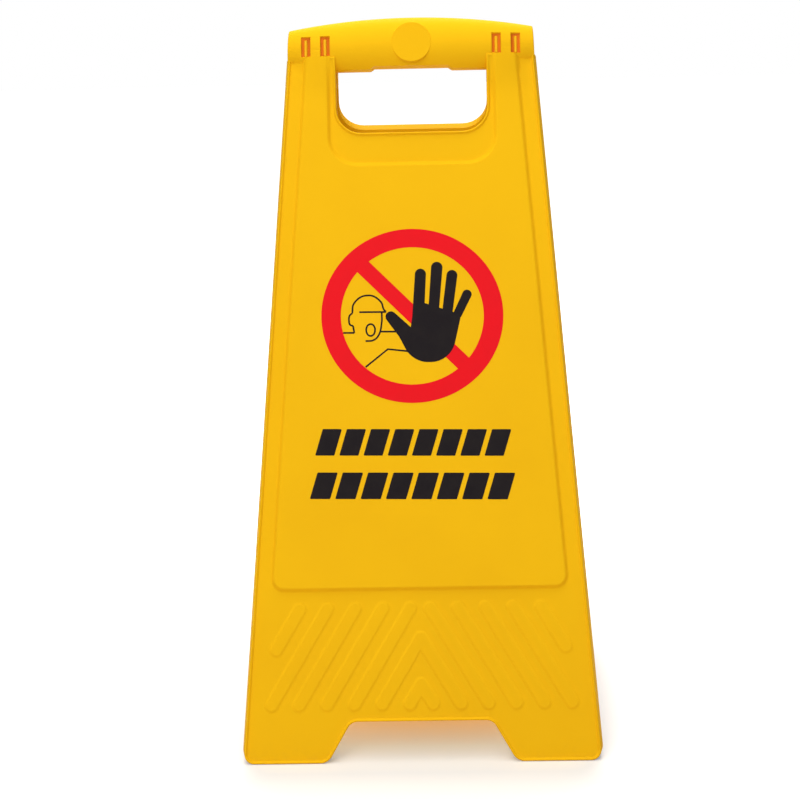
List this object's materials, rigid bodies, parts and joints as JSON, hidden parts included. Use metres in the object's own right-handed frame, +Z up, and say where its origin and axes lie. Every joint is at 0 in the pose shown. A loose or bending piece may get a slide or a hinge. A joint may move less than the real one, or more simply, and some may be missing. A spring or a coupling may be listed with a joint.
{
  "type": "folding floor warning sign stand",
  "caption": "Folding A-frame floor sign: stepped plastic panels with feet, hand hole and chevron ribs, hinged on pins inside a split round carrying handle.",
  "frame": {"origin": "on the floor, midway between the four feet and under the hinge axis", "axes": "+Z up, -Y towards the viewer of the front panel, +X to that viewer's right along the hinge axis"},
  "size_m": [0.2996, 0.3158, 0.6059],
  "materials": {
    "panel_plastic": "semi-gloss moulded yellow",
    "pin_plastic": "plain moulded yellow"
  },
  "bodies": {
    "front": {"front_panel": "panel_plastic", "front_hinge_pin": "pin_plastic"},
    "rear": {"rear_panel": "panel_plastic", "rear_hinge_pin": "pin_plastic"}
  },
  "joints": [
    {"name": "fold_hinge", "type": "hinge", "parent": "front", "child": "rear", "pos_m": [0, 0, 0.58024], "axis": [-1, 0, 0], "range_deg": [0, 28]}
  ]
}
